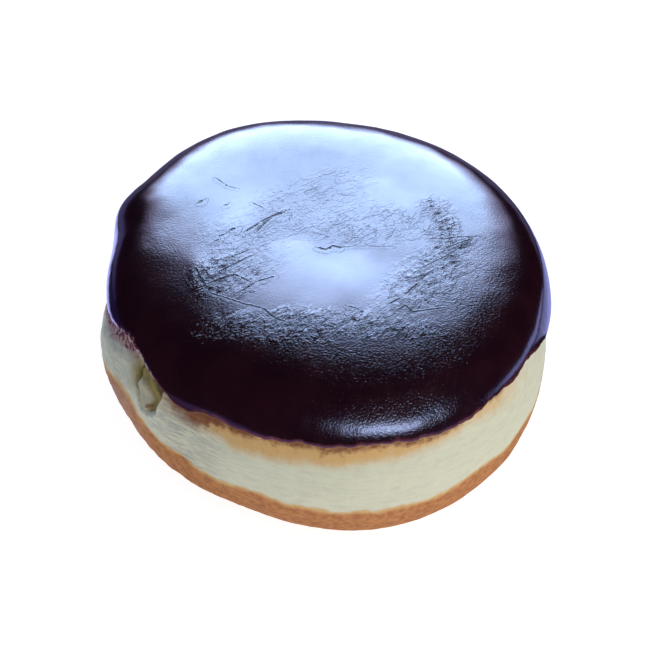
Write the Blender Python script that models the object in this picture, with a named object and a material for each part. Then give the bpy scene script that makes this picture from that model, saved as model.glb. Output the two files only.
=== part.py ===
"""A filled doughnut: a shell of fried dough, the custard inside it and a cap of dark icing.

Metres, +Z up. The doughnut rests on its flat foot at z = 0. Its front is at -Y, and the hole that the custard
was piped in through faces front left. A turn is an angle about the axis, anticlockwise from +X, in degrees here.
"""

import math

import bpy
import numpy as np

# Driving sizes
PLAN_RADIUS = 0.045
DOUGH_HEIGHT = 0.0441
WIDEST_LEVEL = 0.0205
FOOT_SHARE = 0.67  # of the plan radius
CROWN_POWER = 3.8  # 2 is an ellipse, and more is boxier
FOOT_POWER = 2.4
ICING_THICKNESS = 0.0018
ICING_LEVEL = 0.0338
CLEARANCE = 0.0003  # between pieces that touch

# The plan's slow waves: how many round it, their share of the radius, and their turn
PLAN_WAVES = ((2, 0.0354, -47), (4, 0.0152, 29), (5, 0.0074, -14))

# The side's waist behind the icing's lip: depth, level and spread
WAIST = (0.0016, 0.0300, 0.0055)

# Single swellings and hollows of the dough's side: turn, spread, level, spread of the level, rise
BAND_BULGE = (186, 24, 0.0205, 0.0055, 0.0022)
HOLE_DIMPLE = (202, 8, 0.0255, 0.0045, -0.0017)
HOLE_LIP = (222, 5, 0.0250, 0.0060, 0.0008)

# The same for the icing's thickness
SHOULDER_LOBE = (155, 9, 0.0320, 0.0055, 0.0024)
FRONT_LEDGE = (293, 15, 0.0356, 0.0022, 0.0008)
LIP_SWELL = 0.0003
LIP_SPREAD = 0.0030

# Where the icing's lower edge runs higher or lower: turn, spread, rise
EDGE_RUNS = (
    (207, 9, 0.0028),
    (229, 6, -0.0022),
    (249, 9, -0.0010),
    (283, 8, 0.0008),
    (316, 6, -0.0007),
    (335, 8, 0.0010),
    (28, 20, -0.0012),
    (75, 14, 0.0010),
    (120, 16, -0.0014),
)

# The custard's pocket, and the neck from it to the hole in the side
POCKET_RADIUS = 0.0220
POCKET_HALF_HEIGHT = 0.0085
POCKET_LEVEL = 0.0225
HOLE_TURN = 214
HOLE_LEVEL = 0.0272
HOLE_HALF_WIDTH = 0.0034
HOLE_HALF_HEIGHT = 0.0048
MOUTH_FLARE = 0.0007
FLARE_LENGTH = 0.0040
CUSTARD_SETBACK = 0.0020
CUSTARD_CAP = 0.0040
TORN_EDGE = ((2, 0.06, 20), (3, 0.09, 50), (5, 0.06, 110))  # waves round the hole, as in the plan

# Steps of the meshes
TURNS = 80
DOUGH_ROWS = 30
ICING_ROWS = 17
LIP_ROWS = 4
LOFT_TURNS = 24
LOFT_ROWS = 18
MOUTH_ROWS = 6
SECTION_STEPS = 400


def make_material(name, colour, roughness):
    """An opaque, non-metallic finish."""
    material = bpy.data.materials.new(name)
    material.use_nodes = True
    shader = material.node_tree.nodes["Principled BSDF"]
    shader.inputs["Base Color"].default_value = (*colour, 1)
    shader.inputs["Roughness"].default_value = roughness
    shader.inputs["Metallic"].default_value = 0
    return material


def waves(turn, wave_list):
    """One plus the sum of a few cosines round a turn."""
    return 1 + sum(share * np.cos(count * (turn - math.radians(shift))) for count, share, shift in wave_list)


def bell(turn, centre, spread):
    """A bell round one turn, 1 at its centre."""
    off = (turn - math.radians(centre) + math.pi) % (2 * math.pi) - math.pi
    return np.exp(-((off / math.radians(spread)) ** 2))


def swelling(turn, height, form):
    """A single swelling: its rise times a bell in the turn and a bell in the level."""
    centre, spread, level, level_spread, rise = form
    return rise * bell(turn, centre, spread) * np.exp(-(((height - level) / level_spread) ** 2))


def section_line():
    """The dough's section from the foot's rim to the middle of the top: run, share of the radius and height.

    Below the widest level it is a superelliptic quarter from the foot's rim, and above it one to the top.
    """
    angle = np.linspace(0, math.pi / 2, SECTION_STEPS)
    below_share = FOOT_SHARE + (1 - FOOT_SHARE) * np.cos(angle) ** (2 / FOOT_POWER)
    below_height = WIDEST_LEVEL * (1 - np.sin(angle) ** (2 / FOOT_POWER))
    above_share = np.cos(angle) ** (2 / CROWN_POWER)
    above_height = WIDEST_LEVEL + (DOUGH_HEIGHT - WIDEST_LEVEL) * np.sin(angle) ** (2 / CROWN_POWER)
    share = np.concatenate([below_share[::-1], above_share[1:]])
    height = np.concatenate([below_height[::-1], above_height[1:]])
    share[-1] = 0
    steps = np.hypot(PLAN_RADIUS * np.diff(share), np.diff(height))
    return np.concatenate([[0], np.cumsum(steps)]), share, height


def side_radius(turn, share, height):
    """The radius of the dough's skin: the plan times the section, less the waist, plus the swellings."""
    depth, level, spread = WAIST
    radius = PLAN_RADIUS * waves(turn, PLAN_WAVES) * share
    radius = radius - depth * np.exp(-(((height - level) / spread) ** 2))
    for form in (BAND_BULGE, HOLE_DIMPLE, HOLE_LIP):
        radius = radius + swelling(turn, height, form)
    return radius


def icing_level(turn):
    """The level of the icing's lower edge at each turn."""
    return ICING_LEVEL + sum(rise * bell(turn, centre, spread) for centre, spread, rise in EDGE_RUNS)


def icing_thickness(turn, height):
    """The icing's thickness: fuller at the lip, at the shoulder's lobe and at the ledge above the lip."""
    lip = LIP_SWELL * np.exp(-(((height - icing_level(turn)) / LIP_SPREAD) ** 2))
    lobe = swelling(turn, height, SHOULDER_LOBE)
    ledge = swelling(turn, height, FRONT_LEDGE)
    return ICING_THICKNESS + lip + lobe + ledge


def turned_points(turn, radius, height):
    """Rows of points round the axis from rows of radii and heights."""
    level = np.broadcast_to(height, radius.shape)
    return np.stack([radius * np.cos(turn), radius * np.sin(turn), level], axis=-1)


def closed_object(name, rows, first_pole, last_pole, material):
    """A closed object from rings of points: each end closes to a pole, or by one flat face if that is None."""
    count = rows.shape[1]
    vertices = rows.reshape(-1, 3).tolist()
    faces = []
    for start in range(0, (len(rows) - 1) * count, count):
        for k in range(count):
            after = (k + 1) % count
            faces.append((start + k, start + after, start + count + after, start + count + k))
    first_ring = list(range(count))[::-1]
    last_ring = list(range(len(vertices) - count, len(vertices)))
    for pole, ring in ((first_pole, first_ring), (last_pole, last_ring)):
        if pole is None:
            faces.append(tuple(ring))
            continue
        vertices.append(tuple(pole))
        tip = len(vertices) - 1
        faces.extend((ring[k], ring[(k + 1) % count], tip) for k in range(count))
    mesh = bpy.data.meshes.new(name)
    mesh.from_pydata(vertices, [], faces)
    mesh.materials.append(material)
    mesh.shade_smooth()
    piece = bpy.data.objects.new(name, mesh)
    bpy.context.scene.collection.objects.link(piece)
    return piece


def make_dough(turn):
    """The shell of dough: rings from the foot's rim to the top, with the foot as one flat face."""
    run, share, height = section_line()
    step = np.linspace(0, run[-1], DOUGH_ROWS)[:-1, None]
    level = np.interp(step, run, height)
    radius = side_radius(turn, np.interp(step, run, share), level)
    rows = turned_points(turn, radius, level)
    crust = make_material("dough", (0.66, 0.52, 0.33), 0.6)
    return closed_object("dough", rows, None, (0, 0, DOUGH_HEIGHT), crust)


def make_icing(turn):
    """The cap of icing: from its inner middle down the inside, round the lip and up the outside.

    Each line of it follows the dough's section from the edge's own level, set off along the section's normal.
    """
    run, share, height = section_line()
    edge = np.interp(icing_level(turn), height, run)
    step = edge + (run[-1] - edge) * np.linspace(0, 1, ICING_ROWS)[:-1, None]
    nudge = CLEARANCE / 10

    def skin(along):
        level = np.interp(along, run, height)
        return side_radius(turn, np.interp(along, run, share), level), level

    radius, level = skin(step)
    radius_before, level_before = skin(step - nudge)
    radius_after, level_after = skin(step + nudge)
    across = radius_after - radius_before
    up = level_after - level_before
    length = np.hypot(across, up)
    normal_out = up / length
    normal_up = -across / length
    thickness = icing_thickness(turn, level)

    def offset(distance):
        return turned_points(turn, radius + normal_out * distance, level + normal_up * distance)

    inner = offset(CLEARANCE)
    outer = offset(CLEARANCE + thickness)
    middle = offset(CLEARANCE + thickness / 2)[0]
    half = (outer[0] - inner[0]) / 2
    drop = np.array([0, 0, -1]) * np.linalg.norm(half, axis=-1, keepdims=True)
    angle = np.linspace(math.pi, 0, LIP_ROWS + 2)[1:-1, None, None]
    lip = middle + half * np.cos(angle) + drop * np.sin(angle)
    rows = np.concatenate([inner[::-1], lip, outer])
    inside = (0, 0, DOUGH_HEIGHT + CLEARANCE)
    outside = (0, 0, DOUGH_HEIGHT + CLEARANCE + ICING_THICKNESS)
    return closed_object("icing", rows, inside, outside, make_material("icing", (0.02, 0.006, 0.008), 0.25))


def hole_frame():
    """The hole's direction, the direction across it, and up."""
    aim = math.radians(HOLE_TURN)
    along = np.array([math.cos(aim), math.sin(aim), 0])
    across = np.array([-math.sin(aim), math.cos(aim), 0])
    return along, across, np.array([0, 0, 1])


def mouth_reach():
    """How far from the axis the dough's skin is at the hole."""
    return float(side_radius(math.radians(HOLE_TURN), 1, HOLE_LEVEL))


def filling_rows(station, margin, flare, rounding):
    """Rings along the hole's direction: a flat ellipsoid that narrows to a neck, with a margin all round.

    Where both exist, the fourth powers of the ellipsoid's and the neck's half sizes are added. The neck's outline
    is torn, and it flares over the last stretch before the mouth.
    """
    bulk = np.sqrt(np.clip(1 - (station / (POCKET_RADIUS + margin)) ** 2, 0, 1))
    rise = np.clip(station / POCKET_RADIUS, 0, 1)
    rise = rise * rise * (3 - 2 * rise)
    flared = flare * np.clip(1 + (station - mouth_reach()) / FLARE_LENGTH, 0, 2)

    def blend(pocket_size, neck_size):
        pocket = bulk * (pocket_size + margin)
        neck = rise * rounding * (neck_size + margin + flared)
        return (pocket**4 + neck**4) ** 0.25

    angle = np.linspace(0, 2 * math.pi, LOFT_TURNS, endpoint=False)
    torn = 1 + (waves(angle, TORN_EDGE) - 1) * rise
    width = blend(POCKET_RADIUS, HOLE_HALF_WIDTH) * np.cos(angle) * torn
    height = blend(POCKET_HALF_HEIGHT, HOLE_HALF_HEIGHT) * np.sin(angle) * torn
    level = POCKET_LEVEL + (HOLE_LEVEL - POCKET_LEVEL) * rise + height
    along, across, up = hole_frame()
    return station[..., None] * along + width[..., None] * across + level[..., None] * up


def make_filling():
    """The custard, which fills its pocket and shows a little inside the hole, and the cutter for its room."""
    along, _, up = hole_frame()
    reach = mouth_reach() - CUSTARD_SETBACK
    middle = (reach - POCKET_RADIUS) / 2
    half = (reach + POCKET_RADIUS) / 2
    station = middle + half * np.sin(np.linspace(-math.pi / 2, math.pi / 2, LOFT_ROWS))[1:-1, None]
    rounding = np.sqrt(1 - np.clip(1 - (reach - station) / CUSTARD_CAP, 0, 1) ** 2)
    tail = -POCKET_RADIUS * along + POCKET_LEVEL * up
    tip = reach * along + HOLE_LEVEL * up
    rows = filling_rows(station, 0, 0, rounding)
    cream = make_material("custard", (0.75, 0.55, 0.2), 0.4)
    custard = closed_object("custard", rows, tail, tip, cream)

    beyond = mouth_reach() + FLARE_LENGTH
    station = np.concatenate([station, np.linspace(reach, beyond, MOUTH_ROWS)[:, None]])
    tail = -(POCKET_RADIUS + CLEARANCE) * along + POCKET_LEVEL * up
    tip = beyond * along + HOLE_LEVEL * up
    rows = filling_rows(station, CLEARANCE, MOUTH_FLARE, 1)
    cutter = closed_object("custard_room", rows, tail, tip, cream)
    cutter.hide_render = True
    cutter.display_type = "WIRE"
    return custard, cutter


def build():
    for old in list(bpy.data.objects):
        bpy.data.objects.remove(old, do_unlink=True)
    turn = np.linspace(0, 2 * math.pi, TURNS, endpoint=False)
    dough = make_dough(turn)
    icing = make_icing(turn)
    custard, cutter = make_filling()
    room = dough.modifiers.new("custard room", "BOOLEAN")
    room.operation = "DIFFERENCE"
    room.solver = "EXACT"
    room.object = cutter
    corners = np.array([vertex.co for piece in (dough, icing) for vertex in piece.data.vertices])
    middle = (corners.min(axis=0) + corners.max(axis=0)) / 2
    for piece in (dough, icing, custard, cutter):
        piece.location = (-middle[0], -middle[1], 0)


build()
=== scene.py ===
"""The looks of a filled doughnut: fried dough, custard at the filling hole and a cap of dark icing."""

import math

import bpy
import numpy as np
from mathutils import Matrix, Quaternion, Vector


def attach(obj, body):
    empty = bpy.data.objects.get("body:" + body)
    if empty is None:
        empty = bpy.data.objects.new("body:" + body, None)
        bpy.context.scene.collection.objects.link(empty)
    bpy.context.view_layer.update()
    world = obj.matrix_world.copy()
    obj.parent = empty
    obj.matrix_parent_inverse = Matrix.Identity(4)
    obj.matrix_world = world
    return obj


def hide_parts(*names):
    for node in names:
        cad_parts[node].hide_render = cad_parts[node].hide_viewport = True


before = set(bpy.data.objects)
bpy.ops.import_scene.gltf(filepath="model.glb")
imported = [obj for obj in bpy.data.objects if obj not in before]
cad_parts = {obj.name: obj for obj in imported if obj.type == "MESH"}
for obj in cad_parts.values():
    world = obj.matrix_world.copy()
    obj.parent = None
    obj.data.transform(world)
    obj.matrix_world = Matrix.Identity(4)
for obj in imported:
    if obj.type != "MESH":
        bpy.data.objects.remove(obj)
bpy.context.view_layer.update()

# The view and the stage
# The doughnut is seen from its front, well above it, through a long lens. It stands on a plain pale
# floor, which the studio light turns white.
CAMERA_HEIGHT_ANGLE = math.radians(46)
CAMERA_DISTANCE = 0.55
CAMERA_AIM = Vector((0.00037, 0.0006, 0.0203))
LENS_MM = 148.2
SENSOR_MM = 36
CLIP_START = 0.01
FLOOR_HALF_SIZE = 1.6
FLOOR_GREY = 0.38
FLOOR_GLOW = 0.86  # the floor is lit from below too, as a light table is, which keeps its shadow faint

backward = Vector((0, -math.cos(CAMERA_HEIGHT_ANGLE), math.sin(CAMERA_HEIGHT_ANGLE)))
camera = bpy.data.objects.new("camera", bpy.data.cameras.new("camera"))
camera.data.lens = LENS_MM
camera.data.sensor_width = SENSOR_MM
camera.data.clip_start = CLIP_START
camera.location = CAMERA_AIM + CAMERA_DISTANCE * backward
camera.rotation_euler = backward.to_track_quat("Z", "Y").to_euler()
bpy.context.scene.collection.objects.link(camera)
bpy.context.scene.camera = camera
bpy.context.scene.view_settings.view_transform = "Standard"


def link(piece):
    """Puts a new object into the scene and returns it."""
    bpy.context.scene.collection.objects.link(piece)
    return piece


def principled(name, **values):
    """A new material and its Principled shader, with constants set on the shader's own sockets."""
    material = bpy.data.materials.new(name)
    material.use_nodes = True
    shader = material.node_tree.nodes["Principled BSDF"]
    for key, value in values.items():
        shader.inputs[key.replace("_", " ")].default_value = value
    return material, shader


floor_mesh = bpy.data.meshes.new("floor")
corners = FLOOR_HALF_SIZE * np.array([(-1, -1, 0), (1, -1, 0), (1, 1, 0), (-1, 1, 0)])
floor_mesh.from_pydata(corners.tolist(), [], [(0, 1, 2, 3)])
floor = link(bpy.data.objects.new("floor", floor_mesh))
floor_paint, _ = principled(
    "floor paint",
    Base_Color=(FLOOR_GREY, FLOOR_GREY, FLOOR_GREY, 1),
    Roughness=0.9,
    Emission_Strength=FLOOR_GLOW,
    Emission_Color=(1, 1, 1, 1),
)
floor_mesh.materials.append(floor_paint)
floor.visible_glossy = False


def panel(name, place_at, back, width, height, radiance, colour, lights, shape="RECTANGLE", roll=0):
    """A soft light whose back is turned to a direction, and rolled about it by degrees.

    It lights the matt surfaces (diffuse), or shows only in the glossy ones (gloss).
    """
    lamp = bpy.data.lights.new(name, "AREA")
    lamp.shape = shape
    lamp.size = width
    lamp.size_y = height
    area = width * height * (math.pi / 4 if shape == "ELLIPSE" else 1)
    lamp.energy = radiance * math.pi * area
    lamp.color = colour
    box = link(bpy.data.objects.new(name, lamp))
    box.location = place_at
    turned = back.to_track_quat("Z", "Y") @ Quaternion((0, 0, 1), math.radians(roll))
    box.rotation_euler = turned.to_euler()
    box.visible_camera = False
    box.visible_diffuse = lights == "diffuse"
    box.visible_glossy = lights == "gloss"


def softbox(name, azimuth, elevation, distance, *form):
    """A panel that faces the doughnut, at an azimuth from +X and an elevation in degrees, and a distance."""
    turn = math.radians(azimuth)
    rise = math.radians(elevation)
    back = Vector((math.cos(turn) * math.cos(rise), math.sin(turn) * math.cos(rise), math.sin(rise)))
    panel(name, back * distance, back, *form)


# Each window is a few sheets, one behind the other, so that its edge fades as a curtained window's does. A
# row is a sheet's width, height and radiance.
WINDOW_SHEETS = (
    (1.48, 1.28, 4.8),
    (1.76, 1.50, 3.3),
    (2.04, 1.74, 2.2),
    (2.34, 1.98, 1.2),
    (2.62, 2.24, 0.5),
)
LEDGE_SHEETS = ((0.90, 0.40, 10.0), (1.20, 0.62, 4.4), (1.50, 0.86, 1.7), (1.80, 1.10, 0.5))
WINDOW_ROLL = -42
SHEET_GAP = 0.03
DAYLIGHT = (0.50, 0.62, 1.0)
for k, (width, height, radiance) in enumerate(WINDOW_SHEETS):
    tint = (0.40 + 0.020 * k * k, 0.64 - 0.015 * k, 1.0)
    form = (width, height, radiance, tint, "gloss", "ELLIPSE", WINDOW_ROLL)
    softbox(f"window_{k}", 91.0 - 0.6 * k, 24.4 + 0.4 * k, 1.60 + SHEET_GAP * k, *form)
for k, (width, height, radiance) in enumerate(LEDGE_SHEETS):
    form = (width, height, radiance, DAYLIGHT, "gloss")
    softbox(f"side_window_{k}", -70, 22, 1.50 + SHEET_GAP * k, *form)
softbox("window_top", 82, 51.5, 1.58, 1.24, 0.68, 4.8, (0.43, 0.60, 1.0), "gloss", "ELLIPSE")
softbox("sky", 165, 22, 1.7, 1.4, 1.2, 1.1, DAYLIGHT, "diffuse")
softbox("key", -42, 42, 1.6, 1.5, 1.5, 2.2, (1.0, 0.96, 0.88), "diffuse")

# The pale floor beside the doughnut as the icing's rim mirrors it, wider and brighter on the right. A row is
# a panel's place on the floor, width, depth, radiance and colour.
DOWN = Vector((0, 0, -1))
SHEEN_LEVEL = 0.0004
SHEENS = {
    "sheen_right": (0.260, 0.010, 0.208, 0.16, 2.7, (0.40, 0.44, 1.0)),
    "sheen_behind": (0.086, 0.040, 0.084, 0.05, 1.3, (0.40, 0.44, 1.0)),
    "sheen_left": (-0.064, 0.036, 0.036, 0.070, 2.2, (0.44, 0.46, 1.0)),
    "sheen_far": (-0.20, 0.06, 0.20, 0.22, 0.14, (0.12, 0.14, 1.0)),
    "sheen_back": (-0.03, 0.16, 0.30, 0.16, 0.26, (0.55, 0.46, 1.0)),
    "sheen_front": (0.0, -0.064, 0.16, 0.034, 0.5, (0.50, 0.32, 1.0)),
}
for name, (right, behind, width, depth, radiance, tint) in SHEENS.items():
    panel(name, Vector((right, behind, SHEEN_LEVEL)), DOWN, width, depth, radiance, tint, "gloss")

SKY_COLOUR = (0.70, 0.82, 1.0, 1)
SKY_STRENGTH = 0.26
world = bpy.data.worlds.new("studio")
bpy.context.scene.world = world
world.use_nodes = True
world.node_tree.nodes["Background"].inputs["Color"].default_value = SKY_COLOUR
world.node_tree.nodes["Background"].inputs["Strength"].default_value = SKY_STRENGTH
world.cycles_visibility.glossy = False

# The dough
# A ball of yeast dough, fried on one side and then the other, which leaves a pale band where it floated.
# Its form is the solid's: a plan with slow waves, times a section of two superelliptic quarters, with a
# few single swellings.
MM = 0.001
CENTRE = np.array([0.00086, 0.00031, 0])  # the plan's own middle, in the frame
PLAN_RADIUS = 0.045
DOUGH_HEIGHT = 0.0441
WIDEST_LEVEL = 0.0205
FOOT_SHARE = 0.67
CROWN_POWER = 3.8
FOOT_POWER = 2.4
PLAN_WAVES = ((2, 0.0354, -47), (4, 0.0152, 29), (5, 0.0074, -14))
WAIST = (0.0016, 0.0300, 0.0055)
BAND_BULGE = (186, 24, 0.0205, 0.0055, 0.0022)
HOLE_DIMPLE = (202, 8, 0.0255, 0.0045, -0.0017)
HOLE_LIP = (222, 5, 0.0250, 0.0060, 0.0008)
SECTION_STEPS = 1200
ICING_LEVEL = 0.0338
EDGE_RUNS = (
    (207, 9, 0.0028),
    (229, 6, -0.0022),
    (249, 9, -0.0010),
    (283, 8, 0.0008),
    (315, 6, 0.0010),
    (330, 6, 0.0010),
    (351, 12, -0.0026),
    (28, 20, -0.0012),
    (75, 14, 0.0010),
    (120, 16, -0.0014),
)


def waves(turn, wave_list):
    """One plus a few cosines round a turn, each with its count, share and turn in degrees."""
    return 1 + sum(share * np.cos(count * (turn - math.radians(shift))) for count, share, shift in wave_list)


def bell(turn, centre, spread):
    """A bell round one turn, 1 at its centre, with centre and spread in degrees."""
    off = (turn - math.radians(centre) + math.pi) % (2 * math.pi) - math.pi
    return np.exp(-((off / math.radians(spread)) ** 2))


def hump(value, centre, spread):
    """A bell over a value: 1 at its centre, and faded out at about twice its spread."""
    return np.exp(-(((value - centre) / spread) ** 2))


def swelling(turn, height, form):
    """A single swelling: its rise times a bell in the turn and a bell in the level."""
    centre, spread, level, level_spread, rise = form
    return rise * bell(turn, centre, spread) * hump(height, level, level_spread)


def icing_edge(turn):
    """Level of the icing's lower edge at a turn: the driving level plus its single dips and rises."""
    return ICING_LEVEL + sum(rise * bell(turn, centre, spread) for centre, spread, rise in EDGE_RUNS)


def section_line():
    """The section from the foot's rim to the middle of the top: run along it, share of the radius and height.

    Below the widest level it is a superelliptic quarter from the foot's rim, and above it one to the top.
    """
    angle = np.linspace(0, math.pi / 2, SECTION_STEPS)
    below_share = FOOT_SHARE + (1 - FOOT_SHARE) * np.cos(angle) ** (2 / FOOT_POWER)
    below_height = WIDEST_LEVEL * (1 - np.sin(angle) ** (2 / FOOT_POWER))
    above_share = np.cos(angle) ** (2 / CROWN_POWER)
    above_height = WIDEST_LEVEL + (DOUGH_HEIGHT - WIDEST_LEVEL) * np.sin(angle) ** (2 / CROWN_POWER)
    share = np.concatenate([below_share[::-1], above_share[1:]])
    height = np.concatenate([below_height[::-1], above_height[1:]])
    share[-1] = 0
    steps = np.hypot(PLAN_RADIUS * np.diff(share), np.diff(height))
    return np.concatenate([[0], np.cumsum(steps)]), share, height


RUN, SHARE, HEIGHT = section_line()


def skin(turn, along):
    """Radius and level of the dough's skin at a turn and a run along the section.

    The radius is plan times section, less the waist, plus the swellings.
    """
    depth, level, spread = WAIST
    share = np.interp(along, RUN, SHARE)
    height = np.interp(along, RUN, HEIGHT)
    radius = PLAN_RADIUS * waves(turn, PLAN_WAVES) * share
    radius = radius - depth * hump(height, level, spread)
    for form in (BAND_BULGE, HOLE_DIMPLE, HOLE_LIP):
        radius = radius + swelling(turn, height, form)
    return radius, height


def skin_frame(turn, along):
    """Points of the dough's skin and its outward normals, on the grid of the turns and the runs.

    A normal is square to the section's line, which runs between two points just before and just after.
    """
    nudge = 0.02 * MM
    radius, level = skin(turn, along)
    before, level_before = skin(turn, along - nudge)
    after, level_after = skin(turn, along + nudge)
    across = after - before
    up = np.maximum(level_after - level_before, 0) + 0 * radius
    length = np.hypot(across, up) + 1e-12
    out = up / length
    rise = -across / length
    point = np.stack([radius * np.cos(turn), radius * np.sin(turn), level + 0 * radius], axis=-1)
    normal = np.stack([out * np.cos(turn), out * np.sin(turn), rise], axis=-1)
    return point, normal


NOISE_CELLS = 64
OCTAVE_SHIFT = 17.3
DENSITY_STEPS = 4000


def value_noise(point, seed):
    """Value noise: each point's random lattice corners, blended by the smoothed place inside its cell.

    The corners hold random numbers from -1 to 1, and the lattice repeats after its last cell.
    """
    corner = np.random.default_rng(seed).uniform(-1, 1, (NOISE_CELLS, NOISE_CELLS, NOISE_CELLS))
    base = np.floor(point).astype(int)
    part = point - base
    part = part * part * (3 - 2 * part)
    total = 0
    for dx in (0, 1):
        for dy in (0, 1):
            for dz in (0, 1):
                weight = np.where(dx, part[..., 0], 1 - part[..., 0])
                weight = weight * np.where(dy, part[..., 1], 1 - part[..., 1])
                weight = weight * np.where(dz, part[..., 2], 1 - part[..., 2])
                index = (base + (dx, dy, dz)) % NOISE_CELLS
                total = total + weight * corner[index[..., 0], index[..., 1], index[..., 2]]
    return total


def rough_noise(point, size, seed, octaves=3, gain=0.5):
    """Several layers of value noise, each half the size of the last and weaker by the gain."""
    total = 0
    for octave in range(octaves):
        shift = OCTAVE_SHIFT * octave
        total = total + gain**octave * value_noise(point / size * 2**octave + shift, seed + octave)
    return total


def crowded(count, low, high, density):
    """Places from low to high, closer where the density is higher: its running sum, read backwards."""
    fine = np.linspace(low, high, DENSITY_STEPS)
    weight = density(fine)
    summed = np.concatenate([[0], np.cumsum((weight[1:] + weight[:-1]) / 2)])
    return np.interp(np.linspace(0, summed[-1], count), summed, fine)


def smooth_step(value, low, high):
    """0 below low, 1 above high and a smooth rise between them. Low may be above high."""
    part = np.clip((value - low) / (high - low), 0, 1)
    return part * part * (3 - 2 * part)


def turn_step(turn, low, high):
    """A smooth step over the turn, with its two ends in degrees."""
    return smooth_step(turn, math.radians(low), math.radians(high))


def turned_piece(name, points, first_pole, last_pole, attributes):
    """A closed piece from a grid of rows round the axis, with a pole at each end, and its attributes.

    Each attribute is a grid like the points, and its poles take the mean of the row beside them.
    """
    rows, count = points.shape[:2]
    row = np.arange(rows - 1)[:, None] * count
    k = np.arange(count)[None, :]
    after = (k + 1) % count
    quads = np.stack([row + k, row + after, row + count + after, row + count + k], axis=-1).reshape(-1, 4)
    bottom = rows * count
    ring = np.arange(count)
    next_in_ring = (ring + 1) % count
    last = (rows - 1) * count
    low_fan = np.stack([next_in_ring, ring, np.full(count, bottom)], axis=-1)
    high_fan = np.stack([last + ring, last + next_in_ring, np.full(count, bottom + 1)], axis=-1)
    vertices = np.concatenate([points.reshape(-1, 3), [first_pole, last_pole]])
    mesh = bpy.data.meshes.new(name)
    mesh.from_pydata(vertices, [], quads.tolist() + low_fan.tolist() + high_fan.tolist())
    for key, grid in attributes.items():
        values = np.concatenate([grid.ravel(), [grid[0].mean(), grid[-1].mean()]])
        mesh.attributes.new(key, "FLOAT", "POINT").data.foreach_set("value", values.astype(np.float32))
    mesh.shade_smooth()
    return link(bpy.data.objects.new(name, mesh))


HOLE_TURN = 214
HOLE_LEVEL = 0.0272
HOLE_HALF_WIDTH = 0.0034
HOLE_HALF_HEIGHT = 0.0048
TORN_EDGE = ((2, 0.06, 20), (3, 0.09, 50), (5, 0.06, 110))
PIT_DEPTH = 0.0062
hole_aim = math.radians(HOLE_TURN)
hole_along = np.array([math.cos(hole_aim), math.sin(hole_aim), 0])
hole_across = np.array([-math.sin(hole_aim), math.cos(hole_aim), 0])

DOUGH_TURNS = 820
DOUGH_ROWS = 96
DOUGH_FOOT_ROWS = 10
COVERED_LEVEL = 0.0375  # the icing hides the dough above it, so the rows stand wider apart there
COVERED_DENSITY = 0.18
covered_run = float(np.interp(COVERED_LEVEL, HEIGHT, RUN))


def dough_turn_density(turn):
    """The turns stand closer round the filling hole."""
    return 1 + 1.6 * bell(turn, HOLE_TURN, 15)


def dough_row_density(run):
    """The rows stand closer where the dough isn't covered."""
    return np.where(run < covered_run, 1, COVERED_DENSITY)


dough_turn = crowded(DOUGH_TURNS + 1, 0, 2 * math.pi, dough_turn_density)[None, :-1]
dough_run = crowded(DOUGH_ROWS, 0, RUN[-1] - 0.4 * MM, dough_row_density)[:, None]
point, normal = skin_frame(dough_turn, dough_run)
level = point[..., 2]
foot_fade = smooth_step(level, 0.0, 0.004)

# Slow lumps, finer pitting of the crust, and stretch lines along the pale band, deeper beside the hole
LUMPS_MM = 0.16
PITTING_MM = 0.05
STRETCH_MM = 0.42
lumps = rough_noise(point, 9 * MM, seed=11, octaves=2) * LUMPS_MM * MM
pitting = rough_noise(point, 1.6 * MM, seed=21) * PITTING_MM * MM * (1 + 2.5 * bell(dough_turn, 196, 20))
wobble = rough_noise(point, 7 * MM, seed=25, octaves=2)[..., None]
stretched = point * (1, 1, 5.5) + (0, 0, 0.0016) * wobble
drawn = 0.16 + 0.84 * bell(dough_turn, 229, 12) + 0.30 * bell(dough_turn, 195, 12)
drawn = drawn * smooth_step(level, 0.0330, 0.0290)
ridges = 0.45 - np.abs(rough_noise(stretched, 5.6 * MM, seed=31, gain=0.62))
stretch_lines = ridges * drawn * STRETCH_MM * MM
relief = (lumps + pitting + stretch_lines) * foot_fade

# On the left the band swells out under the upper crust, with a crease that climbs towards the filling hole
CREASE_DEPTH_MM = 0.45
SET_BACK_MM = 1.1
crease_level = 0.0220 + 0.000205 * (np.degrees(dough_turn) - 176)
by_crease = turn_step(dough_turn, 174, 186) * turn_step(dough_turn, 217, 209)
above_crease = smooth_step(level, crease_level - 0.0003, crease_level + 0.0009)
set_back = above_crease * smooth_step(level, crease_level + 0.0080, crease_level + 0.0030)
crease = set_back * SET_BACK_MM * MM + CREASE_DEPTH_MM * MM * hump(level, crease_level, 0.0007)
relief = relief - by_crease * crease
point = point + normal * relief[..., None]

# The filling hole: a torn pit, pushed in along the hole's own direction
BRIM_MM = 0.35
across = point @ hole_across
rise = level - HOLE_LEVEL
facing = (point @ hole_along) > 0
off_across = (across - 0.0003) / (HOLE_HALF_WIDTH * 1.28)
off_rise = (rise - 0.0004) / (HOLE_HALF_HEIGHT * 1.02)
outline = waves(np.arctan2(off_rise, off_across), TORN_EDGE)
reach = np.hypot(off_across, off_rise) / outline + 0.07 * rough_noise(point, 1.2 * MM, seed=41, octaves=2)
pit = smooth_step(reach, 1.08, 0.84) * facing
brim = hump(reach, 1.20, 0.14) * facing * smooth_step(across, -0.001, 0.003)
point = point - hole_along * (pit * PIT_DEPTH - brim * BRIM_MM * MM)[..., None]

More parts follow.
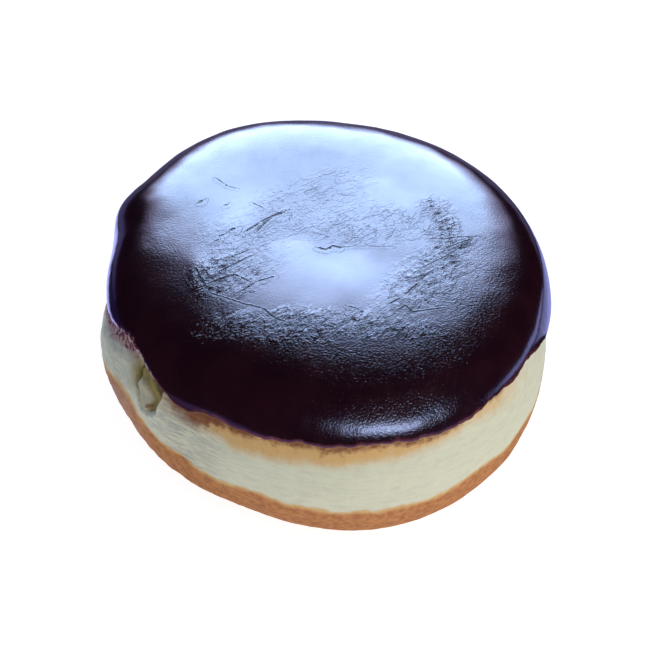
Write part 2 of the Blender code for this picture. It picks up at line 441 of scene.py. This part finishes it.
# How brown the crust is: the lower side up to its waterline, and the upper side from the icing down
wander = rough_noise(point * (1, 1, 0.6), 7 * MM, seed=51)
waterline = 0.0150 + 0.0076 * bell(dough_turn, 203, 18) + 0.0022 * bell(dough_turn, 322, 22) + 0.0011 * wander
brown_foot = smooth_step(level, waterline + 0.0014, waterline - 0.0020)
upper_line = 0.0262 + 0.0022 * bell(dough_turn, 300, 22) - 0.0016 * bell(dough_turn, 250, 14)
upper_line = upper_line + 0.0009 * wander
bare = 0.75 * bell(dough_turn, 217, 8) + 0.92 * bell(dough_turn, 342, 24)
bare = bare * smooth_step(level, 0.0335, 0.0300)
brown_top = smooth_step(level, upper_line - 0.0016, upper_line + 0.0030) * (1 - bare)
brown_top = brown_top * (1 - 0.8 * by_crease)

# The stain between the crease and the icing, and the fainter one on the lower crust under it
stained = turn_step(dough_turn + 0.06 * wander, 158, 177) * turn_step(dough_turn, 212, 204)
stained = stained * smooth_step(level + 0.0006 * wander, crease_level - 0.0006, crease_level + 0.0012)
stained = 0.9 * stained * smooth_step(level, 0.0365, 0.0345)
stained = np.maximum(stained, 0.45 * brown_foot * bell(dough_turn, 204, 16))

# Painted shade in the dimple beside the hole and round the hole's mouth, and the darker fringe under the
# icing
hole_shade = bell(dough_turn, 208.5, 7.5) * hump(level, 0.0280, 0.0048)
upper_right = smooth_step(rise + 0.6 * across, -0.0016, 0.0022)
hole_shade = np.maximum(hole_shade, smooth_step(reach, 1.3, 1.05) * facing * upper_right)
# The fringe is partly the dough's own browning and partly painted shade under the icing's lip, stronger on
# the left
under_icing = icing_edge(dough_turn) + 0.0007 * wander
fringe_depth = 0.0046 + 0.0034 * bell(dough_turn, 229, 15)
browned_and_shaded_fringe = smooth_step(level, under_icing - fringe_depth, under_icing - 0.0024)
browned_and_shaded_fringe = browned_and_shaded_fringe * (0.75 + 0.9 * bell(dough_turn, 228, 15))

side_attributes = {
    "brown_foot": brown_foot,
    "brown_top": brown_top,
    # painted shade in the pit's upper right
    "pit": pit * upper_right,
    "stained": stained,
    "hole_shade": hole_shade,
    "browned_and_shaded_fringe": browned_and_shaded_fringe,
    "drawn": np.clip(drawn, 0, 1),
}

# The flat foot: rows from its middle out to the side's first row, browned all over
foot_share = np.linspace(0, 1, DOUGH_FOOT_ROWS)[1:-1, None, None]
foot_rows = point[0] * foot_share
foot_rows[..., 2] = 0
points = np.concatenate([foot_rows, point]) + CENTRE
attributes = {}
for key, values in side_attributes.items():
    foot_values = np.full(foot_rows.shape[:2], 1.0 if key == "brown_foot" else 0.0)
    attributes[key] = np.concatenate([foot_values, values])
dough = turned_piece("fried_dough", points, CENTRE, CENTRE + (0, 0, DOUGH_HEIGHT), attributes)


class Field:
    """A value that varies over a surface. Arithmetic on it adds Math nodes to its material."""

    def __init__(self, tree, socket):
        self.tree = tree
        self.socket = socket

    def node(self, kind, settings, inputs, output=0):
        """A new node: its settings first, then the value or the link of each socket, by name or number."""
        made = self.tree.nodes.new(kind)
        for key, value in settings.items():
            setattr(made, key, value)
        for key, value in inputs.items():
            if isinstance(value, Field):
                self.tree.links.new(value.socket, made.inputs[key])
            else:
                made.inputs[key].default_value = value
        return Field(self.tree, made.outputs[output])

    def math(self, operation, first, second):
        """A Math node on two values."""
        return self.node("ShaderNodeMath", {"operation": operation}, {0: first, 1: second})

    def __add__(self, other):
        return self.math("ADD", self, other)

    __radd__ = __add__

    def __sub__(self, other):
        return self.math("SUBTRACT", self, other)

    def __rsub__(self, other):
        return self.math("SUBTRACT", other, self)

    def __mul__(self, other):
        return self.math("MULTIPLY", self, other)

    __rmul__ = __mul__

    def __abs__(self):
        return self.math("ABSOLUTE", self, 0.0)

    def step(self, low, high):
        """0 below low, 1 above high and a smooth rise between them."""
        values = {"Value": self, "From Min": low, "From Max": high, "To Min": 0.0, "To Max": 1.0}
        return self.node("ShaderNodeMapRange", {"interpolation_type": "SMOOTHSTEP"}, values)

    def noise(self, size, detail=3.0, roughness=0.5, stretch=(1, 1, 1), turn=0.0):
        """Noise about 0.5 over this place.

        Its features have this size in metres, times the stretch along axes that are turned about Z.
        """
        values = {"Vector": self, "Scale": [size * s for s in stretch], "Rotation": (0, 0, turn)}
        scaled = self.node("ShaderNodeMapping", {"vector_type": "TEXTURE"}, values)
        values = {"Vector": scaled, "Scale": 1.0, "Detail": detail, "Roughness": roughness}
        return self.node("ShaderNodeTexNoise", {}, values)

    def blend(self, first, second):
        """The first colour where this is 0 and the second where it is 1."""
        values = {"Factor": self, 6: first, 7: second}
        return self.node("ShaderNodeMix", {"data_type": "RGBA"}, values, 2)

    def bump(self, distance, strength=1.0):
        """A normal whose surface stands out by this height times the distance."""
        values = {"Height": self, "Distance": distance, "Strength": strength}
        return self.node("ShaderNodeBump", {}, values)

    def feed(self, shader, name):
        """Links this to a socket of a shader."""
        self.tree.links.new(self.socket, shader.inputs[name])


def place(material):
    """The Object coordinates of a material's piece."""
    tree = material.node_tree
    return Field(tree, tree.nodes.new("ShaderNodeTexCoord").outputs["Object"])


def attribute(material, name):
    """A float attribute of a material's piece."""
    tree = material.node_tree
    made = tree.nodes.new("ShaderNodeAttribute")
    made.attribute_name = name
    return Field(tree, made.outputs["Fac"])


PALE = (0.68, 0.67, 0.50, 1)
PALE_GREY = (0.42, 0.39, 0.35, 1)
TAN = (0.66, 0.40, 0.15, 1)
TAN_DEEP = (0.25, 0.085, 0.026, 1)
CRUST = (0.57, 0.240, 0.078, 1)
CRUST_DEEP = (0.38, 0.135, 0.048, 1)
PINK_CRUST = (0.46, 0.29, 0.25, 1)
STAIN = (0.12, 0.022, 0.045, 1)
HOLE_SHADE_TINT = (0.35, 0.28, 0.10, 1)
PIT_SHADE = (0.19, 0.135, 0.038, 1)

crumb, shader = principled("fried dough", Roughness=0.7, Specular_IOR_Level=0.18)
here = place(crumb)
mottle = here.noise(0.0035, detail=4.0, roughness=0.6, stretch=(1, 1, 0.45))
fine = here.noise(0.0007, roughness=0.6)
speck = here.noise(0.0012, detail=2.0)
streak = here.noise(0.0042, detail=4.0, roughness=0.7, stretch=(1, 1, 0.12))
runs = here.noise(0.0020, roughness=0.6, stretch=(1, 1, 2.4))
smears = here.noise(0.0011, roughness=0.6, stretch=(1, 1, 1.6))
drawn = attribute(crumb, "drawn")
browned_and_shaded_fringe = attribute(crumb, "browned_and_shaded_fringe")
stained = attribute(crumb, "stained")
# Grey tone at random on the pale band, and painted shade in the grooves of its stretch lines
grey_tone_and_line_shade = mottle.step(0.45, 0.75) * 0.16 + drawn * (streak.step(0.42, 0.58) - 0.20) * 0.9
pale = grey_tone_and_line_shade.blend(PALE, PALE_GREY)
foot = attribute(crumb, "brown_foot") + (mottle - 0.5) * 0.5 + (speck - 0.5) * 0.3
top = attribute(crumb, "brown_top") + (runs - 0.5) * 0.6 + (mottle - 0.5) * 0.4
# Golden tan, turning deep brown towards the icing: the dough's own browning and painted shade under the lip
tan = (browned_and_shaded_fringe * 1.05 + (speck - 0.5) * 1.3 + (runs - 0.5) * 1.1).step(0.08, 1.0).blend(TAN, TAN_DEEP)
crust = (speck * 0.75 + runs * 0.25 + fine * 0.35).step(0.50, 0.92).blend(CRUST, CRUST_DEEP)
colour = top.step(0.0, 1.05).blend(pale, tan)
colour = foot.step(0.06, 0.5).blend(colour, TAN)
colour = foot.step(0.40, 0.95).blend(colour, crust)
colour = (stained + (mottle - 0.5) * 0.5).step(0.15, 0.75).blend(colour, PINK_CRUST)
colour = (stained * 0.42 + smears + browned_and_shaded_fringe * 0.05).step(0.84, 0.95).blend(colour, STAIN)
# Painted shade in the dimple beside the hole and round its mouth
colour = (attribute(crumb, "hole_shade") + (mottle - 0.5) * 0.5).step(0.2, 1.0).blend(colour, HOLE_SHADE_TINT)
# Deeper painted shade inside the pit's upper right
colour = attribute(crumb, "pit").step(0.1, 0.7).blend(colour, PIT_SHADE)
colour.feed(shader, "Base Color")
height = fine * 0.5 + mottle + streak * drawn * 3.0
height.bump(0.00040, 0.6).feed(shader, "Normal")
dough.data.materials.append(crumb)
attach(dough, "root")
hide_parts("dough")

# The custard
# Yellow pastry cream, piped in through the side until a little of it stands in the hole. Its body has the
# solid's form, a flat ellipsoid with a neck. Its lumpy end stands further out than the solid's, with a
# paler tongue at the lower left.
POCKET_RADIUS = 0.0220
POCKET_HALF_HEIGHT = 0.0085
POCKET_LEVEL = 0.0225
CUSTARD_SETBACK = 0.0011
CUSTARD_CAP = 0.0024
CUSTARD_TURNS = 120
CUSTARD_BODY_ROWS = 56
CUSTARD_FACE_ROWS = 44


def merged(first, second):
    """The larger of two sizes, with a smooth passage: the fourth root of the sum of their fourth powers."""
    return (first**4 + second**4) ** 0.25


mouth_radius = float(skin(hole_aim, np.interp(HOLE_LEVEL, HEIGHT, RUN))[0])
custard_reach = mouth_radius - CUSTARD_SETBACK
cap_start = custard_reach - CUSTARD_CAP
body = np.linspace(-POCKET_RADIUS, cap_start, CUSTARD_BODY_ROWS)[1:]
inwards = np.linspace(1, 0, CUSTARD_FACE_ROWS + 1)[1:-1]
face = cap_start + CUSTARD_CAP * (1 - inwards**4) ** 0.25
station = np.concatenate([body, face])[:, None]
closing = np.concatenate([np.ones(len(body)), inwards])[:, None]
bulk = np.sqrt(np.clip(1 - (station / POCKET_RADIUS) ** 2, 0, 1))
rise = smooth_step(station, 0, POCKET_RADIUS)
angle = np.linspace(0, 2 * math.pi, CUSTARD_TURNS, endpoint=False)[None, :]
torn = (1 + (waves(angle, TORN_EDGE) - 1) * rise) * closing
fill = 1.1 + 0.20 * smooth_step(station, cap_start - 0.002, cap_start)
width = merged(bulk * POCKET_RADIUS, rise * HOLE_HALF_WIDTH * fill) * np.cos(angle) * torn
tall = merged(bulk * POCKET_HALF_HEIGHT, rise * HOLE_HALF_HEIGHT * (fill - 0.1)) * np.sin(angle) * torn
middle = POCKET_LEVEL + (HOLE_LEVEL - POCKET_LEVEL) * rise
points = station[..., None] * hole_along + (width + 0.0004 * rise)[..., None] * hole_across
points = points + (middle + tall)[..., None] * np.array([0, 0, 1])
showing = smooth_step(station, cap_start - 0.002, custard_reach - 0.001)

# The end that shows: a rounded tongue at its lower left, with a hollow in it, and small curds all over
off_tongue = np.hypot((width + 0.0016) / 0.0031, (tall + 0.0028) / 0.0036)
off_tongue = off_tongue + 0.06 * rough_noise(points, 1.5 * MM, seed=75, octaves=2)
tongue = smooth_step(off_tongue, 1.15, 0.78) * showing
hollow = hump(off_tongue, 0.1, 0.35) * tongue
curds = rough_noise(points, 1.3 * MM, seed=71) * showing
bulge = tongue * 1.3 - hollow * 0.15 + curds * 0.16 - smooth_step(tall, 0.0005, 0.0035) * showing * 1.6
bulge = bulge + smooth_step(tall, -0.0010, -0.0042) * showing * 1.3
points = points + hole_along * (bulge * MM)[..., None]
face_middle = custard_reach + float(bulge[-1].mean()) * MM
tongue_tip = CENTRE + face_middle * hole_along + 0.0004 * hole_across + (0, 0, HOLE_LEVEL)
tail = CENTRE - POCKET_RADIUS * hole_along + (0, 0, POCKET_LEVEL)
cream_attributes = {
    "tongue": tongue,
    "hollow": hollow,
    # a small brown spot near the foot of the tongue
    "brown_spot": 0.9 * np.exp(-(((width - 0.0012) / 0.0008) ** 2) - ((tall + 0.0030) / 0.0008) ** 2) * showing,
    "shade": smooth_step(tall + 0.5 * width, 0.0002, 0.0030) * showing * (1 - tongue),
}
custard = turned_piece("custard_filling", points + CENTRE, tail, tongue_tip, cream_attributes)

# The cream's yellow is darkened to stand for the shade inside the hole
CREAM_YELLOW_SHADED = (0.36, 0.27, 0.075, 1)
CREAM_PALE = (0.50, 0.45, 0.29, 1)
CREAM_BROWN = (0.26, 0.15, 0.05, 1)
CREAM_SHADE = (0.15, 0.105, 0.030, 1)
cream, shader = principled("pastry cream", Roughness=0.38, Specular_IOR_Level=0.5)
here = place(cream)
lumps = here.noise(0.0012, roughness=0.6)
# The tongue is paler, a little less so in its hollow, where the hollow's shade is painted
pale = (attribute(cream, "tongue") - attribute(cream, "hollow") * 0.2 + (lumps - 0.5) * 0.7).step(0.15, 0.8)
colour = pale.blend(CREAM_YELLOW_SHADED, CREAM_PALE)
colour = (attribute(cream, "shade") + (lumps - 0.5) * 0.8).step(0.2, 1.0).blend(colour, CREAM_SHADE)
colour = (attribute(cream, "brown_spot") + (lumps - 0.5) * 0.6).step(0.3, 0.8).blend(colour, CREAM_BROWN)
colour.feed(shader, "Base Color")
lumps.bump(0.0003, 0.6).feed(shader, "Normal")
custard.data.materials.append(cream)
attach(custard, "root")
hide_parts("custard")

# The icing
# Cocoa icing that the doughnut's top was dipped into. It set with a full lip round the side and a glossy
# skin, which has fine sugar grain and has wrinkled and scratched on the flat top.
ICING_THICKNESS = 0.0018
ICING_LIFT = 0.0003
ICING_SINK = 0.0006  # its underside lies this far inside the dough
SHOULDER_LOBE = (155, 9, 0.0320, 0.0055, 0.0024)
FRONT_LEDGE = (293, 15, 0.0356, 0.0022, 0.0003)
LIP_SWELL = 0.0003
LIP_SPREAD = 0.0030
LIP_DROOP = 0.8
ICING_TURNS = 580
LIP_ROWS = 10
ICING_ROWS = 152
UNDERSIDE_SHARES = (0.9, 0.6, 0.3, 0.1, 0.0)  # of the run from the lip to the middle of the top
WRINKLE_TURN = math.radians(41)  # the direction that the skin was dragged in


def icing_turn_density(turn):
    """The turns stand closer on the left and on the right of the front."""
    return 1 + 1.2 * bell(turn, 210, 30) + 0.4 * bell(turn, 330, 45)


def icing_row_density(share):
    """The rows stand closer between the shoulder and the middle of the top."""
    return np.where((share < 0.24) | (share >= 0.75), 0.7, 1.3)


icing_turn = crowded(ICING_TURNS + 1, 0, 2 * math.pi, icing_turn_density)[None, :-1]
rim_mm = np.stack([45 * np.cos(icing_turn), 45 * np.sin(icing_turn), 0 * icing_turn], axis=-1)
edge_level = icing_edge(icing_turn) + 0.00032 * rough_noise(rim_mm, 2.6, seed=81, gain=0.8)
edge_run = np.interp(edge_level, HEIGHT, RUN)
share_of_run = crowded(ICING_ROWS, 0, 1, icing_row_density)[:-1, None]
along = edge_run + (RUN[-1] - edge_run) * share_of_run
point, normal = skin_frame(icing_turn, along)
level = point[..., 2]
thickness = ICING_THICKNESS + LIP_SWELL * hump(level, edge_level, LIP_SPREAD)
for form in (SHOULDER_LOBE, FRONT_LEDGE):
    thickness = thickness + swelling(icing_turn, level, form)
x = point[..., 0]
y = point[..., 1]


def patch(centre_x, centre_y, half_x, half_y, turn=0.0):
    """A soft ellipse on the plan in mm, 1 in its middle: a bell over the square of the squared distance."""
    dx = x - centre_x * MM
    dy = y - centre_y * MM
    u = (dx * math.cos(turn) + dy * math.sin(turn)) / (half_x * MM)
    v = (dy * math.cos(turn) - dx * math.sin(turn)) / (half_y * MM)
    return np.exp(-((u * u + v * v) ** 2))


# Where the top is wrinkled, with folds along the dragged direction, and where it stayed smooth
WRINKLE_LIMIT = 1.3
drag = np.array([math.cos(WRINKLE_TURN), math.sin(WRINKLE_TURN), 0])
side = np.array([-math.sin(WRINKLE_TURN), math.cos(WRINKLE_TURN), 0])
warp = rough_noise(point, 6 * MM, seed=91, octaves=2)[..., None] * 1.2 * MM
along_drag = (point @ drag)[..., None] * (0.30, 0, 0)
across_drag = (point @ side)[..., None] * (0, 1, 0)
dragged = along_drag + across_drag + warp * (0.4, 1, 0)
folds = 1 - np.abs(rough_noise(dragged, 0.95 * MM, seed=101, octaves=2, gain=0.55)) * 1.6
pits = rough_noise(point, 0.8 * MM, seed=111, octaves=2)
smooth = (
    patch(2, -11, 14, 8)
    + patch(18, 19, 8, 14, math.radians(-50))
    + patch(-7, -3.5, 5, 3)
    + patch(-20, 12, 7, 10)
)
smooth = np.clip(smooth, 0, 1)
wrinkled = (
    patch(19, -12, 12, 6, math.radians(42))
    + 0.9 * patch(22.5, 4, 3.5, 9, math.radians(12))
    + 1.2 * patch(-19.3, -10.5, 6, 5.6)
    + 1.0 * patch(-2, -23.5, 20, 3.6)
    + 0.45 * patch(9, 3.5, 12, 6, math.radians(10))
    + 0.22 * patch(0, 14, 12, 6, math.radians(20))
    + 0.25 * patch(-14, 2, 11, 12)
)
wrinkled = np.clip(wrinkled * (1 - 0.75 * smooth), 0, WRINKLE_LIMIT)
wrinkled = wrinkled * (0.65 + 0.5 * rough_noise(point, 5 * MM, seed=121, octaves=2))
wrinkled = np.clip(wrinkled, 0, WRINKLE_LIMIT)
relief = wrinkled * (folds * 0.035 + pits * 0.070) * MM

# Where the skin is chipped, and where its sugar grain shows: on the shoulder and on the ledge at the front
chipped = (
    1.1 * patch(-22.4, -9.5, 2.4, 4.6, 0.2)
    + 0.8 * patch(-17.5, -11, 6, 5)
    + 1.2 * patch(22.6, 3.0, 1.1, 9, 0.2)
    + 0.9 * patch(19, -12, 11, 4.4, 0.75)
    + 0.85 * patch(-3, -22.3, 19, 2.8, -0.05)
    + 0.35 * patch(9, 4, 12, 5, 0.1)
)
chipped = np.clip(chipped, 0, 1.2) * (0.85 + 0.25 * rough_noise(point, 3 * MM, seed=131, octaves=2))
ledge_grain = bell(icing_turn, 292, 26) * smooth_step(level, 0.0320, 0.0340)
ledge_grain = ledge_grain * smooth_step(level, 0.0425, 0.0395)
shoulder = smooth_step(level, 0.0375, 0.0405) * smooth_step(level, 0.0436, 0.0424)
shoulder = shoulder * (0.2 + 0.8 * smooth_step(y, 0.010, -0.012)) * (1 - 0.6 * bell(icing_turn, 203, 22))
sugared = np.clip(smooth_step(level, 0.0385, 0.0440) * 0.22 + 0.55 * shoulder + 0.8 * ledge_grain, 0.04, 1)

# Single scratches, each a broken line on the plan in mm with its width and depth, and single chips, each a
# place and a size. Two attributes hold the distance across the nearest one, in its widths, and its depth.
SCRATCHES = (
    (((-15.8, 1.7), (-12.2, 4.8), (-9.5, 6.3)), 0.15, 0.14),
    (((-13.8, 1.6), (-10.9, 5.7)), 0.10, 0.09),
    (((-19.1, -6.0), (-15.5, -3.9)), 0.10, 0.07),
    (((-21.0, -9.6), (-15.0, -5.6)), 0.13, 0.15),
    (((-24.7, -13.4), (-21.0, -11.6), (-18.0, -10.6), (-15.2, -12.5)), 0.15, 0.18),
    (((-16.8, -15.1), (-13.6, -12.6), (-10.6, -11.4)), 0.14, 0.17),
    (((-25.8, -8.4), (-25.1, -10.4), (-24.0, -12.5)), 0.26, 0.22),
    (((-1.6, -3.5), (-0.3, -4.0), (1.1, -2.9), (2.4, -3.4)), 0.16, 0.16),
    (((2.4, -3.4), (5.4, -3.0), (12.8, -3.1)), 0.09, 0.05),
    (((-22.1, -15.2), (-16.1, -18.2), (-12.4, -19.5), (-10.0, -22.0), (-7.9, -23.0)), 0.14, 0.11),
    (((-22.3, 17.4), (-20.1, 14.9), (-18.2, 14.0)), 0.10, 0.07),
    (((-14.8, 9.4), (-13.1, 8.2)), 0.10, 0.07),
    (((-4.2, 12.8), (-2.1, 14.0)), 0.10, 0.06),
    (((24.1, -2.5), (28.2, 0.0)), 0.12, 0.12),
    (((26.1, -3.0), (28.2, -1.7)), 0.12, 0.11),
    (((18.6, -8.7), (22.7, -5.7), (28.2, -0.5)), 0.10, 0.09),
    (((15.4, -12.3), (20.3, -9.9)), 0.12, 0.10),
    (((18.3, -11.7), (20.5, -9.4)), 0.13, 0.12),
    (((15.2, -15.8), (17.4, -13.1)), 0.13, 0.11),
    (((12.2, -18.4), (13.8, -17.1)), 0.15, 0.12),
    (((13.5, -20.0), (15.0, -18.9), (16.3, -20.5), (22.4, -18.8)), 0.13, 0.11),
    (((4.1, -19.3), (5.9, -20.0)), 0.12, 0.08),
    (((20.1, -0.7), (23.1, -0.4), (30.1, 1.3)), 0.10, 0.08),
)
CHIPS = (
    (-18.8, 2.0, 0.22), (-21.9, -1.0, 0.17), (-20.9, 0.4, 0.16), (-25.3, 10.7, 0.18), (-20.4, 9.1, 0.14),
    (20.2, 10.5, 0.16), (20.9, 9.1, 0.22), (21.8, 6.7, 0.28), (23.4, 4.8, 0.30), (23.9, 2.3, 0.26),
    (24.1, -0.4, 0.18), (22.3, 4.3, 0.15), (24.9, 3.4, 0.15), (-9.7, 6.2, 0.30), (-24.2, -9.4, 0.25),
    (-23.0, -11.0, 0.2), (21.4, -3.2, 0.2),
)
CHIP_RUN = (0.2, 0.13)
CHIP_DEPTH = 0.6  # as a share of its size
FAR_OFF = 8.0  # widths away, past the reach of any scratch
marks = [(line[k], line[k + 1], wide, deep) for line, wide, deep in SCRATCHES for k in range(len(line) - 1)]
for chip_x, chip_y, size in CHIPS:
    marks.append(((chip_x, chip_y), (chip_x + CHIP_RUN[0], chip_y + CHIP_RUN[1]), size, CHIP_DEPTH * size))
scratch = np.full(x.shape, FAR_OFF)
scratch_depth = np.zeros(x.shape)
for (x0, y0), (x1, y1), wide, deep in marks:
    length = math.hypot(x1 - x0, y1 - y0)
    ahead = ((x / MM - x0) * (x1 - x0) + (y / MM - y0) * (y1 - y0)) / length
    beside = ((y / MM - y0) * (x1 - x0) - (x / MM - x0) * (y1 - y0)) / length
    past = np.maximum(np.maximum(-ahead, ahead - length), 0)
    distance = np.hypot(beside, past) / wide * np.where(beside < 0, -1, 1)
    nearer = np.abs(distance) < np.abs(scratch)
    scratch = np.where(nearer, distance, scratch)
    scratch_depth = np.where(nearer, deep, scratch_depth)

# The top's slow waves and shallow dips, which bend what it mirrors
slow = rough_noise(point, 13 * MM, seed=141, octaves=2) * 0.07 * MM
dip = -0.09 * MM * patch(2, -11, 15, 9) - 0.12 * MM * patch(17, 12, 8, 17, math.radians(-42))
dip = dip - 0.30 * MM * patch(-31.5, -14, 6, 9) + 0.11 * MM * patch(-24.0, -10.5, 2.6, 5, 0.25)
ripple = rough_noise(point, 5 * MM, seed=151, octaves=2)
swell = slow + dip + 0.07 * MM * ripple * smooth_step(level, 0.0445, 0.040)
point_out = point + normal * (ICING_LIFT + thickness + swell + relief)[..., None]

# The lip: half a turn from the underside's edge, just inside the dough, down and out to the skin
point_in = point[:1] - normal[:1] * ICING_SINK
half = (point_out[:1] - point_in) / 2
centre = (point_out[:1] + point_in) / 2
drop = np.array([0, 0, -1]) * np.linalg.norm(half, axis=-1, keepdims=True)
lip_angle = np.linspace(math.pi, 0, LIP_ROWS + 2)[1:-1, None, None]
lip_rows = centre + half * np.cos(lip_angle) + drop * LIP_DROOP * np.sin(lip_angle)
inner_run = edge_run + (RUN[-1] - edge_run) * np.array(UNDERSIDE_SHARES)[:, None]
inner, inner_normal = skin_frame(icing_turn, inner_run)
inner_rows = inner - inner_normal * ICING_SINK
points = np.concatenate([inner_rows, lip_rows, point_out]) + CENTRE
hidden = np.zeros((len(inner_rows) + len(lip_rows), ICING_TURNS))
crumbed_turns = bell(icing_turn, 215, 11)
# Each attribute's value on the underside and the lip, and its grid on the skin
icing_attributes = {
    "wrinkled": (0, wrinkled),
    "smooth": (0, smooth),
    "chipped": (0, chipped),
    "sugared": (0, sugared),
    "scratch": (FAR_OFF, scratch),
    "scratch_depth": (0, scratch_depth),
    "lip": (1, smooth_step(level, edge_level + 0.0012, edge_level)),
    "crumbs": (crumbed_turns, crumbed_turns * smooth_step(level, edge_level + 0.0009, edge_level)),
}
attributes = {key: np.concatenate([hidden + below, grid]) for key, (below, grid) in icing_attributes.items()}
inside = CENTRE + (0, 0, DOUGH_HEIGHT - ICING_SINK)
outside = CENTRE + (0, 0, DOUGH_HEIGHT + ICING_LIFT + ICING_THICKNESS)
icing = turned_piece("icing_cap", points, inside, outside, attributes)

ICING_DARK = (0.0130, 0.0026, 0.0068, 1)
ICING_BROWN = (0.0260, 0.0050, 0.0090, 1)
ICING_THIN = (0.15, 0.036, 0.048, 1)
CRUMB_PINK = (0.50, 0.36, 0.38, 1)
glaze, shader = principled(
    "cocoa icing", Roughness=0.18, Specular_IOR_Level=0.5, Coat_Weight=0.35, Coat_Roughness=0.12
)
here = place(glaze)
wrinkled = attribute(glaze, "wrinkled")
smooth = attribute(glaze, "smooth")
scratch = attribute(glaze, "scratch")
scratch_depth = attribute(glaze, "scratch_depth")
grain = here.noise(0.00036, detail=1.0)
cloud = here.noise(0.006)
broken = here.noise(0.0013, detail=1.0)
dots = here.noise(0.0009, detail=2.0, roughness=0.6).step(0.60, 0.72)
streaks = here.noise(0.00110, roughness=0.64, stretch=(1.9, 1, 1), turn=WRINKLE_TURN)
creases = abs(streaks - 0.5)
flakes = here.noise(0.0012, roughness=0.62, stretch=(1.9, 1, 1), turn=WRINKLE_TURN).step(0.50, 0.57)
colour = (cloud.step(0.35, 0.7) * 0.5).blend(ICING_DARK, ICING_BROWN)
colour = (attribute(glaze, "lip") * 0.9 + (cloud - 0.5) * 0.8).step(0.50, 1.15).blend(colour, ICING_THIN)
crumbed = attribute(glaze, "crumbs") + (here.noise(0.0008, detail=2.0, roughness=0.6) - 0.5) * 1.4
crumbed = crumbed.step(0.62, 1.05)
colour = crumbed.blend(colour, CRUMB_PINK)
colour.feed(shader, "Base Color")

# Chips are dark cores in a pitted zone. A scratch is a ragged groove with a low burr along one side.
matt = (1 - smooth * 0.8) * attribute(glaze, "sugared")
chipped = attribute(glaze, "chipped")
chip = here.noise(0.0010, detail=2.0, stretch=(1.9, 1, 1), turn=WRINKLE_TURN) + chipped * 0.22
chipped = chipped.step(0.0, 0.9)
jagged = scratch + (here.noise(0.0006, detail=2.0, roughness=0.6) - 0.5) * 3.2
groove = (1 - abs(jagged).step(0.6, 1.9)) * scratch_depth.step(0.0, 0.12) * broken.step(0.30, 0.46)
groove = groove + chip.step(0.80, 0.87) * chipped * 0.6
burr = 1 - abs(jagged - 2.1).step(0.2, 1.1)
roughness = 0.14 + wrinkled * 0.04 + cloud * 0.06 - smooth * 0.03 + groove * 0.35 + crumbed * 0.4
roughness.feed(shader, "Roughness")
coat = 0.34 + smooth * 0.26 + (grain - 0.5) * matt * 1.2 + (cloud - 0.5) * 0.6 - groove * 0.8 - crumbed
coat.feed(shader, "Coat Weight")
scratches = scratch_depth.step(0.0, 0.25) * burr * 0.26 - groove * 0.5
height = grain * (matt * 0.13 + wrinkled * 0.12) + creases * wrinkled * 0.55
height = height + flakes * (wrinkled * 0.32 + chipped * 0.19)
height = height - dots * wrinkled * 0.25 + scratches - chip.step(0.70, 0.84) * chipped * 0.28
height.bump(0.001).feed(shader, "Normal")
icing.data.materials.append(glaze)
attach(icing, "root")
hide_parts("icing")
